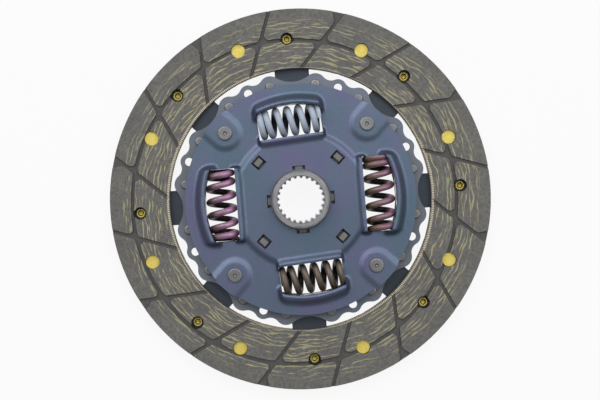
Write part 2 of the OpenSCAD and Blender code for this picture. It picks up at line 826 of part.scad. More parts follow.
// The bore's plain circle inside the spline, and its chamfers at both ends
module spline_bore() {
    tip = spline_root_d / 2 - spline_tooth_h;
    lead = spline_tooth_h * 1.3;
    over = spline_tooth_h * 0.2;
    translate([0, 0, barrel_bottom - cut]) linear_extrude(barrel_top - barrel_bottom + 2 * cut) spline_2d();
    translate([0, 0, barrel_top - lead]) cylinder(r1 = tip, r2 = tip + lead + over, h = lead + over);
    translate([0, 0, barrel_bottom - over]) cylinder(r1 = tip + lead + over, r2 = tip, h = lead + over);
}

// The open notch that a stop pin moves in, as wide as the pin, its turn both ways and the slack
module stop_notch() {
    half = asin(stop_pin_d / 2 / stop_pin_r) + damper_turn + stop_slack / stop_pin_r * 180 / PI;
    bottom = stop_pin_r - stop_pin_d / 2 - cover_gap;
    translate([0, 0, flange_z - cut]) linear_extrude(flange_t + 2 * cut)
        sector_2d(bottom, flange_r + cut, 2 * half);
}

module hub() {
    c = barrel_chamfer;
    edge = 0.4;
    color("silver") difference() {
        rotate_extrude() polygon([
            [0, barrel_bottom],
            [barrel_r - c, barrel_bottom],
            [barrel_r, barrel_bottom + c],
            [barrel_r, flange_z],
            [flange_r - edge, flange_z],
            [flange_r, flange_z + edge],
            [flange_r, flange_top - edge],
            [flange_r - edge, flange_top],
            [barrel_r, flange_top],
            [barrel_r, barrel_top - c],
            [barrel_r - c, barrel_top],
            [0, barrel_top]
        ]);
        spline_bore();
        for (w = WINDOWS) rotate(w[0])
            translate([spring_circle_r - flange_half_w, -w[1] / 2 - seat_gap, flange_z - cut])
            cube([2 * flange_half_w, w[1] + 2 * seat_gap, flange_t + 2 * cut]);
        around(4, pin_angle) stop_notch();
    }
}

// Friction pack

// The moulded front washer with four lugs that stand in the cover plate's slots
module friction_washer_front() {
    outer = slot_r + slot_depth / 2 - pack_play;
    color("gray") {
        ring(cover_hole_r + 3 * pack_play, outer, flange_top, flange_top + front_washer_t);
        for (a = slot_angles) rotate(a) translate([outer - pack_play / 2 - lug_depth, -lug_w / 2, flange_top])
            cube([lug_depth, lug_w, plateau_top - pack_play - flange_top]);
    }
}

// The cone spring that presses that washer on the hub flange
module cone_spring() {
    low = flange_top + front_washer_t;
    high = cover_z + plateau_rise;
    inner = cover_hole_r + 4 * pack_play;
    outer = slot_r - slot_depth / 2 + pack_play;
    color("steelblue") rotate_extrude() polygon([
        [inner, high - cone_spring_t],
        [outer, low],
        [outer, low + cone_spring_t],
        [inner, high]
    ]);
}

// The rear washer with the collar that centres the disc plate on the hub
module friction_washer_rear() {
    color("gray") {
        ring(bush_bore_r, cover_hole_r + rear_washer_w, disc_plate_top, flange_z);
        ring(bush_bore_r, cover_hole_r - rivet_gap, disc_plate_z, disc_plate_top + rear_washer_t / 2);
    }
}

// The bush between the hub and the cover plate: a collar under the plate, and four lugs that
// stand in the plate's notches
module centring_bush() {
    low = cover_z + plateau_rise - bush_collar_t;
    high = plateau_top - pack_play / 2;
    collar_r = cover_hole_r + 3 * bush_collar_t - pack_play;
    color("dimgray") difference() {
        union() {
            ring(bush_bore_r, cover_hole_r - rivet_gap, low, high);
            ring(bush_bore_r, collar_r, low, low + bush_collar_t);
            for (a = lug_angles) rotate(a) translate([0, -bush_lug_w / 2, low])
                cube([collar_r, bush_lug_w, high - low]);
        }
        hole(0, 0, 2 * bush_bore_r, low, high);
    }
}

hub();
disc_plate();
cover_plate();
front_facing();
rear_facing();
for (i = [1:segment_count])
    cushion_segment(i - 1);
front_facing_rivets();
rear_facing_rivets();
segment_rivets();
stop_pins();
damper_spring(RIGHT, RIGHT_COIL, "rosybrown");  // spring_right
damper_spring(TOP, TOP_COIL, "lightsteelblue");  // spring_top
damper_spring(LEFT, LEFT_COIL, "plum");  // spring_left
damper_spring(BOTTOM, BOTTOM_COIL, "darkkhaki");  // spring_bottom
friction_washer_front();
friction_washer_rear();
cone_spring();
centring_bush();
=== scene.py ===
# %% [markdown]
# # A clutch disc, dressed for its portrait
#
# A clutch disc carries the engine's turning force to the gearbox. Two woven friction rings grip
# the flywheel and the pressure plate, thin sprung segments join them to a pair of steel plates,
# and four coil springs between those plates and the splined hub soften each jolt.
#
# The solids come from CAD as a fixed frame: every piece is already at its real size and place.
# This lesson gives them their looks. It sets up the camera and the studio, writes one material
# for each finish, presses a cover plate with flowing forms and winds springs of rounder wire.

# %% Load the frame
import math

import bpy
import bmesh
from mathutils import Matrix, Vector


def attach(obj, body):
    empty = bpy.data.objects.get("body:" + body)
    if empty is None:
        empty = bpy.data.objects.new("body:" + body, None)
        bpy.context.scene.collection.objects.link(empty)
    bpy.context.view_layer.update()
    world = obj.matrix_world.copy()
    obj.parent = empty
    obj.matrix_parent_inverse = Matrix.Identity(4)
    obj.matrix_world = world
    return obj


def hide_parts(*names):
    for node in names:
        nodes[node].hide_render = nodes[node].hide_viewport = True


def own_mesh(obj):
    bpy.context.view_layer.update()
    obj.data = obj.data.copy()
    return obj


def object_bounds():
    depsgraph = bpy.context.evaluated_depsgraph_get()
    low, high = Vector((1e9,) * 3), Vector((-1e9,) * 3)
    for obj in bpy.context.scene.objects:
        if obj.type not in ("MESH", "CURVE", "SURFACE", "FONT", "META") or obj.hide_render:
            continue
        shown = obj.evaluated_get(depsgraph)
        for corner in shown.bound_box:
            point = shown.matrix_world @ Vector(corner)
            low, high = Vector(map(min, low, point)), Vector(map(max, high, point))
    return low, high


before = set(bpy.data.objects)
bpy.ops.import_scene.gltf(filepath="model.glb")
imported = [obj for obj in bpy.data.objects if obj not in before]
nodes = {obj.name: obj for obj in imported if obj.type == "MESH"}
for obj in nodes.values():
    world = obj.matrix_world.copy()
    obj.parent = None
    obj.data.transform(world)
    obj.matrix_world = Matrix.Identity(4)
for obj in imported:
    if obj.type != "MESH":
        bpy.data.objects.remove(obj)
cad_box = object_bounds()
MM = 0.001
bpy.context.scene.view_settings.view_transform = "Standard"
print("CAD nodes:", len(nodes), "box in mm:", [round(v / MM, 1) for c in cad_box for v in c])

# %% [markdown]
# ## The camera
#
# The photograph looks almost straight down on the disc. Straight lines that should be parallel
# still are, so it was taken from some way off. Working back from the sizes of the rings gives a
# lens of about 74 mm on a 36 mm sensor, 616 mm above the disc, turned by 4 degrees, and a tilt
# of about one degree, which shows as a small shift between the high hub and the low rim.

# %% Place the camera
PHOTO_WIDTH = 600
SENSOR_WIDTH = 36
FOCUS_HEIGHT = 4.2 * MM
DISTANCE = 615.8 * MM
PIXEL = 0.4986 * MM
ROLL = math.radians(-4.027)
TILT = Vector((-0.0131, 0.0136, 1)).normalized()
OFF_CENTRE = (0.753 * PIXEL, 0.696 * PIXEL)

turn = Matrix.Rotation(ROLL, 3, "Z")
right = Vector((1, 0, 0))
right = (right - TILT * right.dot(TILT)).normalized()
up = TILT.cross(right)
aim = -right * OFF_CENTRE[0] - up * OFF_CENTRE[1]
facing_way = Matrix((turn @ right, turn @ up, turn @ TILT)).transposed()

camera_data = bpy.data.cameras.new("camera")
camera_data.sensor_width = SENSOR_WIDTH
camera_data.lens = DISTANCE / PIXEL * SENSOR_WIDTH / PHOTO_WIDTH
camera_data.clip_start = 0.01
camera = bpy.data.objects.new("camera", camera_data)
bpy.context.scene.collection.objects.link(camera)
camera.location = turn @ (aim + TILT * DISTANCE) + Vector((0, 0, FOCUS_HEIGHT))
camera.rotation_euler = facing_way.to_euler()
bpy.context.scene.camera = camera
print("lens", round(camera_data.lens, 2), "mm, camera at", [round(v, 3) for v in camera.location])

# %% [markdown]
# ## Shader maths as plain Python
#
# A node tree is easier to read as a formula. `Value` wraps one socket, and its operators add the
# Math nodes, so `1 - mask` or `radius * 2` works. `ramp` and `step` turn a number into a mask
# between 0 and 1, the second with soft ends.

# %% Wrap a socket
class Value:
    def __init__(self, finish, socket):
        self.finish = finish
        self.socket = socket

    def _math(self, operation, *terms):
        given = dict(enumerate(terms))
        return self.finish.node("ShaderNodeMath", {"operation": operation}, given)

    def __add__(self, other):
        return self._math("ADD", self, other)

    def __radd__(self, other):
        return self._math("ADD", other, self)

    def __sub__(self, other):
        return self._math("SUBTRACT", self, other)

    def __rsub__(self, other):
        return self._math("SUBTRACT", other, self)

    def __mul__(self, other):
        return self._math("MULTIPLY", self, other)

    def __rmul__(self, other):
        return self._math("MULTIPLY", other, self)

    def __truediv__(self, other):
        return self._math("DIVIDE", self, other)

    def __rtruediv__(self, other):
        return self._math("DIVIDE", other, self)

    def __pow__(self, other):
        return self._math("POWER", self, other)

    def absolute(self):
        return self._math("ABSOLUTE", self)

    def floor(self):
        return self._math("FLOOR", self)

    def sine(self):
        return self._math("SINE", self)

    def cosine(self):
        return self._math("COSINE", self)

    def remainder(self, other):
        """What is left after taking other away as often as it goes, never below 0."""
        return self._math("FLOORED_MODULO", self, other)

    def at_least(self, other):
        return self._math("MAXIMUM", self, other)

    def at_most(self, other):
        return self._math("MINIMUM", self, other)

    def _range(self, low, high, **settings):
        sockets = {"Value": self, "From Min": low, "From Max": high}
        return self.finish.node("ShaderNodeMapRange", {"clamp": True, **settings}, sockets)

    def ramp(self, low, high):
        """0 at low and 1 at high, straight in between. Low may be the larger."""
        return self._range(low, high)

    def step(self, low, high):
        """The same, with soft ends."""
        return self._range(low, high, interpolation_type="SMOOTHSTEP")


print("a Value can be added, taken away, multiplied, divided and raised to a power")

# %% [markdown]
# `Finish` is one material. Its `node` method makes any node from its type, its settings and the
# values or links of its sockets, and the other methods are short names for the nodes that this
# disc needs. Places are Object coordinates, so a pattern stays on its piece when a joint moves.

# %% Wrap a material
class Finish:
    def __init__(self, name):
        self.material = bpy.data.materials.new(name)
        self.material.use_nodes = True
        self.tree = self.material.node_tree
        self.tree.nodes.clear()
        self.shader = self.tree.nodes.new("ShaderNodeBsdfPrincipled")
        self.output = self.tree.nodes.new("ShaderNodeOutputMaterial")
        self.tree.links.new(self.shader.outputs[0], self.output.inputs[0])
        self.place = self.node("ShaderNodeTexCoord", {}, {}, "Object")

    def node(self, kind, settings, sockets, output=0):
        """Any node: its type, its settings, the values or links of its sockets, its output."""
        made = self.tree.nodes.new(kind)
        for key, value in settings.items():
            setattr(made, key, value)
        for key, value in sockets.items():
            self.plug(made.inputs[key], value)
        return Value(self, made.outputs[output])

    def plug(self, socket, value):
        if isinstance(value, Value):
            self.tree.links.new(value.socket, socket)
        else:
            socket.default_value = value

    def mix(self, mask, a, b):
        """Colour a where the mask is 0, colour b where it is 1."""
        settings = {"data_type": "RGBA", "clamp_factor": True}
        return self.node("ShaderNodeMix", settings, {0: mask, 6: a, 7: b}, 2)

    def noise(self, size, detail=2.0, place=None):
        """Cloudy values round 0.5, with clouds of about the given size."""
        where = self.place if place is None else place
        sockets = {"Vector": where, "Scale": 1 / size, "Detail": detail}
        return self.node("ShaderNodeTexNoise", {"noise_dimensions": "3D"}, sockets, "Fac")

    def xyz(self, place=None):
        where = self.place if place is None else place
        parts = self.node("ShaderNodeSeparateXYZ", {}, {0: where}).socket.node
        return [Value(self, output) for output in parts.outputs]

    def vector(self, x, y, z):
        return self.node("ShaderNodeCombineXYZ", {}, {0: x, 1: y, 2: z})

    def stretched(self, x, y, z, place=None):
        """The place, multiplied along each axis: the larger the factor, the shorter the clouds."""
        where = self.place if place is None else place
        return self.node("ShaderNodeMapping", {}, {"Vector": where, "Scale": (x, y, z)})

    def radius(self):
        """Distance from the hub axis in millimetres."""
        x, y = self.xyz()[:2]
        return (x * x + y * y) ** 0.5 / MM

    def ring(self):
        """Distance from the hub axis, and the cosine and sine of the angle round it."""
        x, y = self.xyz()[:2]
        r = self.radius()
        return r, x / MM / r, y / MM / r

    def around(self):
        """Angle round the hub axis in radians, from -pi to pi."""
        x, y = self.xyz()[:2]
        return self.node("ShaderNodeMath", {"operation": "ARCTAN2"}, {0: y, 1: x})

    def bump(self, height, depth, strength):
        """A normal from a height between 0 and 1 that stands for a depth in metres."""
        sockets = {"Height": height, "Strength": strength, "Distance": depth}
        return self.node("ShaderNodeBump", {}, sockets)

    def surface(self, **sockets):
        for key, value in sockets.items():
            self.plug(self.shader.inputs[key.replace("_", " ")], value)
        return self.material


def srgb(r, g, b):
    """A colour read off the screen, 0 to 255, as the linear colour that a shader takes."""
    def linear(v):
        v = v / 255
        return v / 12.92 if v <= 0.04045 else ((v + 0.055) / 1.055) ** 2.4
    return (linear(r), linear(g), linear(b), 1.0)


print("mid grey on the screen is", round(srgb(128, 128, 128)[0], 3), "in a shader")

# %% [markdown]
# ## The studio
#
# The disc lies on a white table. The table's colour is white for the camera and for reflections,
# and plain pale grey for the light that it passes on, so it looks white without more light on
# the metal, and a tenth of it always stays plain, which keeps the disc's soft shadow. Two large
# soft lamps stand beyond the disc's far edge, one to each side of the lens. In the photograph
# the faces that look up the picture are the bright ones and those that look down it are nearly
# black, so there is no lamp on the near side.

# %% Table and backdrop
TABLE_SIZE = 4.0
TABLE_GAP = 0.2 * MM
WHITE_SHARE = 0.9
PALE_GREY = (0.9, 0.9, 0.9, 1)
WORLD_LIGHT = 0.18


def white_table():
    finish = Finish("white_table")
    kinds = ("Is Camera Ray", "Is Glossy Ray", "Is Transmission Ray")
    rays = [finish.node("ShaderNodeLightPath", {}, {}, kind) for kind in kinds]
    camera_ray, glossy, through = rays
    seen = camera_ray.at_least(glossy).at_least(through) * WHITE_SHARE
    finish.tree.nodes.remove(finish.shader)
    white = finish.node("ShaderNodeEmission", {}, {"Color": (1, 1, 1, 1), "Strength": 1.0})
    plain = finish.node("ShaderNodeBsdfDiffuse", {}, {"Color": PALE_GREY})
    both = finish.node("ShaderNodeMixShader", {}, {0: seen, 1: plain, 2: white})
    finish.tree.links.new(both.socket, finish.output.inputs[0])
    return finish.material


def into_scene(mesh, name, material):
    """Makes a finished bmesh an object of the scene."""
    data = bpy.data.meshes.new(name)
    mesh.to_mesh(data)
    mesh.free()
    data.materials.append(material)
    made = bpy.data.objects.new(name, data)
    bpy.context.scene.collection.objects.link(made)
    return made


table_z = cad_box[0].z - TABLE_GAP
table = bmesh.new()
bmesh.ops.create_grid(table, x_segments=1, y_segments=1, size=TABLE_SIZE / 2)
bmesh.ops.translate(table, verts=table.verts, vec=(0, 0, table_z))
floor = into_scene(table, "floor", white_table())

world = bpy.data.worlds.new("studio")
bpy.context.scene.world = world
world.use_nodes = True
background = world.node_tree.nodes["Background"]
background.inputs["Color"].default_value = (1, 1, 1, 1)
background.inputs["Strength"].default_value = WORLD_LIGHT
print("table at", round(table_z / MM, 2), "mm")

# %% Two soft lamps
LAMP_SIZE = 1.35


def lamp(name, place, power):
    data = bpy.data.lights.new(name, "AREA")
    data.shape = "SQUARE"
    data.size = LAMP_SIZE
    data.energy = power
    made = bpy.data.objects.new(name, data)
    bpy.context.scene.collection.objects.link(made)
    made.location = place
    made.rotation_euler = (-Vector(place)).to_track_quat("-Z", "Y").to_euler()


lamp("left_lamp", (-0.6, 0.7, 0.95), 10.4)
lamp("right_lamp", (0.7, 0.45, 0.95), 7.9)
print("lamps:", [made.name for made in bpy.data.lights])

# %% [markdown]
# ## The friction lining
#
# The facings are wound from yarn, pressed with resin and ground flat. Grinding leaves a grey
# brown face in which cut strands show as wavy olive streaks that run round the ring. To follow
# the ring, the noise is read at the sine and cosine of the angle and not at the angle itself, so
# that there is no seam where the angle jumps from 180 to -180 degrees.

# %% Strands of yarn
def strands(finish, spacing, lean, seed):
    """Long thin strands that run round the ring, a little aslant: 1 on a strand, 0 beside it."""
    r, cos, sin = finish.ring()

    def along_ring(waves, first, second, third):
        """Noise that changes faster along the ring, the more waves it is given."""
        where = finish.vector(cos * waves + first, sin * waves + second, third)
        return finish.noise(1.0, 1.0, where)

    sway = along_ring(3.2, seed, 0.0, r / 30)
    quiver = along_ring(11, seed, 0.0, r / 12)
    across = (r + (sway - 0.5) * lean + (quiver - 0.5) * 1.5) / spacing
    number = across.floor()
    shift = (along_ring(8, number * 3.7, seed, number * 1.9) - 0.5) * 1.2
    beside = (across - number - 0.5 + shift).absolute()
    present = along_ring(4, number * -2.3, seed, number * 4.1)
    bunch = along_ring(7, -seed, 0.0, r / 7)
    width = (along_ring(16, 0.0, seed, number * 1.3) - 0.2) * 0.44
    return beside.step(width, width - 0.12) * present.step(0.4, 0.48) * bunch.step(0.38, 0.46)


print("strands can be laid on any finish")

# %% [markdown]
# Eight rivets hold each facing, 45 degrees apart. `near_rivet` folds the whole ring into one
# such step, so that one formula serves all eight: it paints shade into the holes in the facing,
# and in the next cells it gives the rivets their eyelets, with a ring of painted shadow inside.

# %% Places of the rivets
RIVET_RING = 80.2
RIVET_STEP = 45.0
TAIL_ANGLE = 1.0
HEAD_ANGLE = 18.9


def near_rivet(finish, angle):
    """Distance in millimetres from the nearest of eight places on the rivet circle."""
    r = finish.radius()
    degrees = finish.around() * (180 / math.pi)
    folded = (degrees - angle + RIVET_STEP / 2).remainder(RIVET_STEP)
    local = (folded - RIVET_STEP / 2) * (math.pi / 180)
    along = r * local.cosine() - RIVET_RING
    across = r * local.sine()
    return (along * along + across * across) ** 0.5


print("rivet tails from", TAIL_ANGLE, "and heads from", HEAD_ANGLE, "degrees")

# %% [markdown]
# The lining's colour is built up from the ground face: mottled resin, then strands, then the
# grooves, found by their depth under the face. Their walls are painted dark as shade, and their
# floors are a plainer, darker grey. At the bore the cut yarn shows as a pale fringe with fine
# slanting hatching, which is a sine of the angle and the height. The fringe is wider towards two
# opposite sides of the ring.

# %% Friction lining
FACE_HEIGHT = 4.2
STRANDS_OUT = 91.5
STRANDS_FULL = 87.0
FRINGE_R = 65.75
FRINGE_EXTRA = 0.9
FRINGE_WAY = (-0.94, 0.34)
THREADS = 460
THREAD_SLANT = 3.2
HOLE_EDGE = 3.75


def friction_lining():
    finish = Finish("friction_lining")
    r, cos, sin = finish.ring()
    height = finish.xyz()[2] / MM
    depth = FACE_HEIGHT - height.absolute()
    mottle = finish.noise(0.0012, 4.0)
    patches = mottle.ramp(0.3, 0.7)
    cloud = finish.noise(0.02)
    ground = finish.mix(patches, srgb(102, 101, 98), srgb(132, 131, 126))
    ground = finish.mix(cloud.ramp(0.35, 0.7) * 0.5, ground, srgb(98, 97, 98))
    fine = strands(finish, 2.0, 7.5, 0.0)
    broad = strands(finish, 2.9, 5.0, 7.0)
    yarn = fine.at_least(broad * 0.8) * r.step(STRANDS_OUT, STRANDS_FULL)
    colour = finish.mix(yarn * 0.86, ground, srgb(192, 185, 140))

    # Painted shade: the walls of the grooves and holes, below the ground face, are darkened.
    wall = depth.step(0.05, 0.2)
    colour = finish.mix(wall, colour, srgb(58, 56, 55))
    groove_floor = finish.mix(patches, srgb(84, 83, 82), srgb(98, 97, 95))
    colour = finish.mix(depth.step(0.7, 0.9), colour, groove_floor)

    hatch = (finish.around() * THREADS + height * THREAD_SLANT).sine().ramp(-0.7, 0.7)
    cut_yarn = finish.mix(hatch, srgb(236, 229, 208), srgb(132, 116, 92))
    wider = (cos * FRINGE_WAY[0] + sin * FRINGE_WAY[1]) ** 2
    fringe = FRINGE_R + wider.ramp(0.2, 0.8) * FRINGE_EXTRA
    colour = finish.mix((fringe - r).step(-0.1, 0.1), colour, cut_yarn)

    to_hole = near_rivet(finish, TAIL_ANGLE).at_most(near_rivet(finish, HEAD_ANGLE))
    # Painted shade in the rivet holes of the facing.
    painted_hole_shade = to_hole.step(HOLE_EDGE, HOLE_EDGE - 0.15) * wall
    colour = finish.mix(painted_hole_shade, colour, srgb(34, 30, 28))
    normal = finish.bump(mottle * 0.5 + yarn * 0.5, 0.12 * MM, 0.6)
    return finish.surface(Base_Color=colour, Roughness=0.82 - yarn * 0.12, Normal=normal)


lining = friction_lining()
print("made", lining.name, "with strands out to", STRANDS_OUT, "mm from the axis")

# %% [markdown]
# ## The sheet steel
#
# The plates are pressed from steel sheet and treated, which leaves a thin film that is blue grey
# with purple where the film is thicker. It is a metal, so its colour is the colour of what it
# reflects: the colour changes slowly over the plate and the roughness a little with it. On the
# cover plate a mask finds how far the surface leans and paints the steep slopes darker. This is
# painted shade: it gives the window edges dark outlines and dims the highlights on the slopes.

# %% Sheet steel
def sheet_steel(name, colours, rough, metal, drawn=0.0):
    main, second, third = colours
    finish = Finish(name)
    wide = finish.noise(0.022)
    other = finish.noise(0.0374, 2.0, finish.stretched(1.0, 1.0, 0.3))
    grain = finish.noise(0.0007, 3.0)
    colour = finish.mix(wide.ramp(0.42, 0.66), main, second)
    colour = finish.mix(other.ramp(0.45, 0.7), colour, third)
    colour = finish.mix(grain.ramp(0.35, 0.75) * 0.16, colour, srgb(40, 44, 52))
    # drawn is the strength of painted shade on steep slopes: the more a face leans, the darker.
    if drawn:
        upward = finish.xyz(finish.node("ShaderNodeTexCoord", {}, {}, "Normal"))[2]
        colour = finish.mix(upward.ramp(0.95, 0.35) * drawn, colour, srgb(30, 29, 44))
    normal = finish.bump(grain, 0.03 * MM, 0.5)
    roughness = wide * 0.14 + (rough - 0.07)
    return finish.surface(Base_Color=colour, Roughness=roughness, Metallic=metal, Normal=normal)


film = (srgb(115, 129, 154), srgb(120, 119, 155), srgb(104, 127, 146))
# The cover's steep slopes get painted shade at 0.75 strength.
cover_steel = sheet_steel("cover_steel", film, rough=0.44, metal=0.65, drawn=0.75)
blue_grey = (srgb(130, 137, 149), srgb(123, 134, 153), srgb(128, 134, 142))
disc_steel = sheet_steel("disc_plate_steel", blue_grey, rough=0.5, metal=0.1)
dark_blue = (srgb(76, 84, 95), srgb(80, 85, 95), srgb(70, 80, 92))
segment_steel = sheet_steel("segment_steel", dark_blue, rough=0.45, metal=0.5)
plain_grey = (srgb(96, 100, 106), srgb(90, 96, 104), srgb(100, 102, 104))
cone_steel = sheet_steel("hidden_steel", plain_grey, rough=0.4, metal=0.5)
print("made", cover_steel.name, disc_steel.name, segment_steel.name, cone_steel.name)

# %% [markdown]
# ## Turned steel, brass and mouldings
#
# The hub is turned, so very fine rings run round its axis. The facing rivets are soft brass with
# flat heads, and their rolled tails are eyelets: a bright middle, a dark ring of painted shadow
# inside the hollow, and a bright rim with a duller edge. Washers and bush are grey mouldings.
# The front washer's lugs stand in slots of the cover plate: only the middle of each lug is left
# light, and its edges and the washer round it are painted dark as the shadow of the slot.

# %% Hub and pin steel
def turned_steel(name, main, shade, rough):
    finish = Finish(name)
    rings = finish.noise(1.0, 2.0, finish.vector(finish.radius() * 6.0, 0.0, 0.0))
    wear = finish.noise(0.004, 3.0)
    colour = finish.mix(wear.ramp(0.4, 0.7), main, shade)
    normal = finish.bump(rings * 0.5 + wear * 0.5, 0.03 * MM, 0.5)
    roughness = wear * 0.16 + (rough - 0.08)
    return finish.surface(Base_Color=colour, Roughness=roughness, Metallic=0.9, Normal=normal)


hub_steel = turned_steel("hub_steel", srgb(208, 207, 210), srgb(192, 192, 197), 0.32)
rivet_steel = turned_steel("rivet_steel", srgb(160, 160, 160), srgb(142, 142, 144), 0.4)
print("made", hub_steel.name, rivet_steel.name)

# %% Brass
EYELET_RING = 1.25


def brass():
    finish = Finish("rivet_brass")
    wear = finish.noise(0.0011, 3.0)
    colour = finish.mix(wear.ramp(0.35, 0.7), srgb(255, 236, 128), srgb(242, 216, 100))
    to_middle = near_rivet(finish, TAIL_ANGLE)
    # A ring of painted shadow inside the eyelet's hollow.
    painted_shadow_ring = (to_middle - EYELET_RING).absolute().step(0.42, 0.2) * 0.85
    colour = finish.mix(painted_shadow_ring, colour, srgb(62, 44, 20))
    rolled_edge = to_middle.step(2.3, 2.6) * to_middle.step(4.5, 4.0)
    colour = finish.mix(rolled_edge, colour, srgb(168, 132, 48))
    return finish.surface(Base_Color=colour, Roughness=wear * 0.2 + 0.34, Metallic=0.25,
                          Normal=finish.bump(wear, 0.02 * MM, 0.4))


rivet_brass = brass()
print("made", rivet_brass.name)

# %% Mouldings
LUG_AT = 27.3
LIT_HALF = 1.75
SHADOW_FROM = 24.0


def moulding(name, main, shade, lugs=False):
    finish = Finish(name)
    speck = finish.noise(0.0009, 3.0)
    colour = finish.mix(speck.ramp(0.35, 0.7), main, shade)
    if lugs:
        # Painted shadow of the slot: outside the light middle of each lug, its edges and the
        # washer round it are darkened.
        x, y = [value.absolute() for value in finish.xyz()[:2]]
        out = (x + y) * (math.sqrt(0.5) / MM)
        aside = (x - y) * (math.sqrt(0.5) / MM)
        past = (out - LUG_AT).absolute().at_least(aside.absolute())
        dark_edge = past.step(LIT_HALF, LIT_HALF + 0.25)
        shadow = dark_edge * out.step(SHADOW_FROM, SHADOW_FROM + 0.4)
        colour = finish.mix(shadow, colour, srgb(20, 22, 26))
    normal = finish.bump(speck, 0.04 * MM, 0.6)
    return finish.surface(Base_Color=colour, Roughness=0.6, Normal=normal)


washer_grey = moulding("washer_moulding", srgb(132, 132, 130), srgb(116, 117, 117), lugs=True)
bush_grey = moulding("bush_moulding", srgb(112, 116, 118), srgb(96, 100, 104))
print("made", washer_grey.name, bush_grey.name)

# %% [markdown]
# ## Dressing the CAD nodes
#
# Most solids have the right shape already, so they only need a finish. The mesh of each CAD node
# stays as it is: only the material in its slot changes.

# %% Assign the finishes
finish_of = {
    "hub": hub_steel,
    "disc_plate": disc_steel,
    "cover_plate": cover_steel,
    "front_facing": lining,
    "rear_facing": lining,
    "front_facing_rivets": rivet_brass,
    "rear_facing_rivets": rivet_brass,
    "segment_rivets": rivet_steel,
    "stop_pins": rivet_steel,
    "friction_washer_front": washer_grey,
    "friction_washer_rear": washer_grey,
    "cone_spring": cone_steel,
    "centring_bush": bush_grey,
}
for number in range(1, 9):
    finish_of[f"cushion_segment_{number}"] = segment_steel

for name, material in finish_of.items():
    data = nodes[name].data
    data.materials.clear()
    data.materials.append(material)
print("dressed", len(finish_of), "nodes")

# %% [markdown]
# ## The pressed cover plate
#
# The solid cover plate has straight slopes and boxy corners, because a solid with simple faces is
# easier to measure. A real pressing flows: the raised middle, the four pads and the lips round
# the spring windows all melt into the sheet. So the cover gets a finer copy, made in three steps:
# first a formula for the sheet's height at each place, in millimetres. `soft` is the S-curve that
# every slope follows.

# %% Height of the pressed sheet
SPRING_PLACES = {
    "spring_right": (0.5, 37.4),
    "spring_top": (94.35, 31.6),
    "spring_left": (180.5, 36.0),
    "spring_bottom": (274.35, 31.6),
}
END_GAP = 0.1
WINDOWS = [(angle, length / 2 + END_GAP) for angle, length in SPRING_PLACES.values()]
DIAGONALS = (45, 135, 225, 315)
SQUARES = (0, 90, 180, 270)
WINDOW_IN = 31.6
WINDOW_OUT = 47.3
COVER_TOP = 8.9
PLATEAU_R = 35.1
PLATEAU_RISE = 1.6
PLATEAU_SLOPE = 3.6
PAD_AT = 49.7
PAD_R = 9.3
PAD_RISE = 0.9
PAD_SLOPE = 3.2
OUTER_LIP_TOP = 13.2
OUTER_LIP_REACH = 5.8
INNER_LIP_TOP = 12.3
INNER_LIP_REACH = 4.2
LIP_ROLL = 1.0
LIP_EDGE_DROP = 0.16
LIP_INSIDE_FALL = 1.5
LIP_END_FALL = 1.3
LIP_END_INSET = 0.9


def soft(value):
    value = min(max(value, 0.0), 1.0)
    return value * value * (3 - 2 * value)


def turned_by(x, y, angle):
    c, s = math.cos(math.radians(angle)), math.sin(math.radians(angle))
    return x * c + y * s, y * c - x * s


def from_nearest(x, y, angles):
    """The place as seen along the nearest of four angles that are a quarter turn apart."""
    around = math.degrees(math.atan2(y, x))
    return turned_by(x, y, round((around - angles[0]) / 90) * 90 + angles[0])


def lip(out, side, reach, rise):
    """Height of a lip: out is the distance from its edge, side the distance past its end."""
    along = out if out > 0 else -out * LIP_INSIDE_FALL
    far = math.hypot(max(along - LIP_ROLL, 0.0), max(side, 0.0) * LIP_END_FALL)
    edge = 1 - LIP_EDGE_DROP * soft((LIP_ROLL - along) / LIP_ROLL)
    return rise * edge * (1 - soft(far / (reach - LIP_ROLL)))


def cover_height(x, y):
    r = math.hypot(x, y)
    pad_x, pad_y = from_nearest(x, y, DIAGONALS)
    to_pad = abs(pad_y) if pad_x > PAD_AT else math.hypot(pad_x - PAD_AT, pad_y)
    plateau = PLATEAU_RISE * soft((PLATEAU_R - r) / PLATEAU_SLOPE)
    height = COVER_TOP + plateau + PAD_RISE * soft((PAD_R - to_pad) / PAD_SLOPE)
    for angle, half in WINDOWS:
        u, v = turned_by(x, y, angle)
        if u > 0:
            side = abs(v) - half + LIP_END_INSET
            outer = lip(r - WINDOW_OUT, side, OUTER_LIP_REACH, OUTER_LIP_TOP - COVER_TOP)
            inner_rise = INNER_LIP_TOP - COVER_TOP - plateau
            inner = lip(WINDOW_IN - u, side, INNER_LIP_REACH, inner_rise)
            height = height + max(outer, inner)
    return height


for what, x, y in (("middle", 20, 0), ("pad", 35.1, 35.1), ("outer lip", 48.3, 0)):
    print("the sheet's", what, "is", round(cover_height(x, y), 2), "mm high")

# %% [markdown]
# Second, the flat blank. A row of points is spun round the axis into a net of rings. Planes cut
# it along the edges of the windows, slots and hub notches, and the faces inside those are taken
# out, so that every opening has a clean edge. A cut runs right across the net, so the one along
# the left side of a slot is also the one along the right side of the slot opposite.

# %% Cut the blank
HOLE_R = 15.0
RIM_R = 57.3
PIN_LEAD = 0.95
PIN_LEAD_ENDS = 11.5
PIN_LEAD_SLOPE = 9.0
INNER_RINGS = 46
OUTER_RINGS = 15
NET_STEPS = 440
SLOT_IN = 24.9
SLOT_OUT = 30.2
SLOT_HALF = 2.85
NOTCH_OUT = HOLE_R + 1.7
NOTCH_HALF = 3.2
ON_LINE = 0.01


def rim(angle):
    """Radius of the plate's edge, which is led out a little round each stop pin."""
    off = abs(angle % 90 - 45)
    return RIM_R + PIN_LEAD * soft((PIN_LEAD_ENDS - off) / PIN_LEAD_SLOPE)


